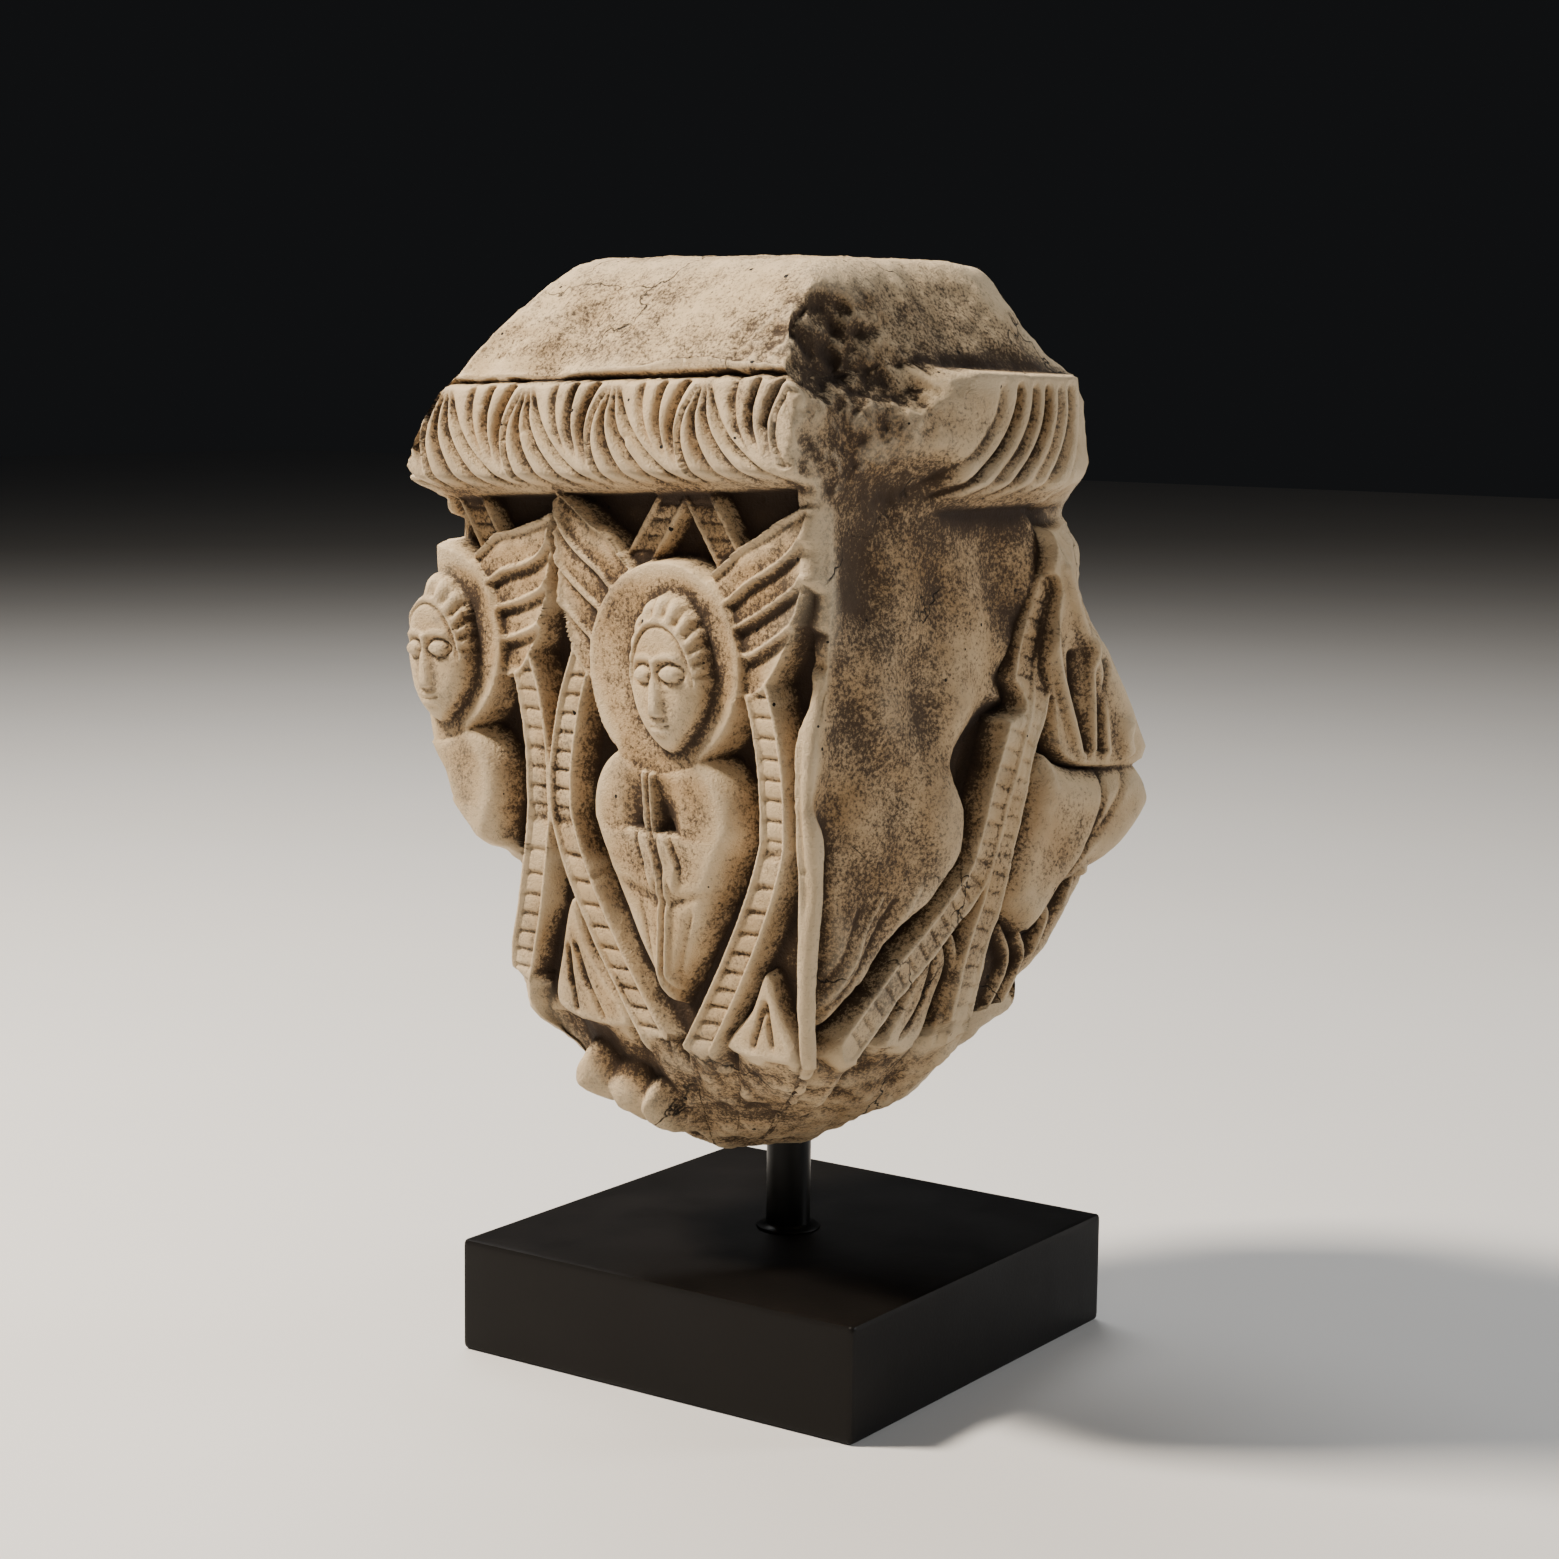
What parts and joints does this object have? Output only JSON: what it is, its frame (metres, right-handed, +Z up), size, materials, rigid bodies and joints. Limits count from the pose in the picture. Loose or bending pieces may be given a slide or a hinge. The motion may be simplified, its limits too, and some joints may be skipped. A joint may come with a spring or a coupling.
{
  "type": "historiated capital",
  "caption": "Broken corner of a carved stone capital with praying winged figures in pointed frames under a leaf band, held by a rod on a square bevelled plinth.",
  "frame": {"origin": "centre of the plinth's underside", "axes": "+Z up along the rod; X and Y along the plinth's sides; -Y and +X are the sides that the two carved faces look over"},
  "size_m": [0.2031, 0.1956, 0.349],
  "materials": {
    "stone": "matte weathered",
    "rod": "satin black",
    "plinth": "satin black paint"
  },
  "bodies": {
    "root": {"carved_stone": "stone", "support_rod": "rod", "plinth": "plinth"}
  },
  "joints": []
}
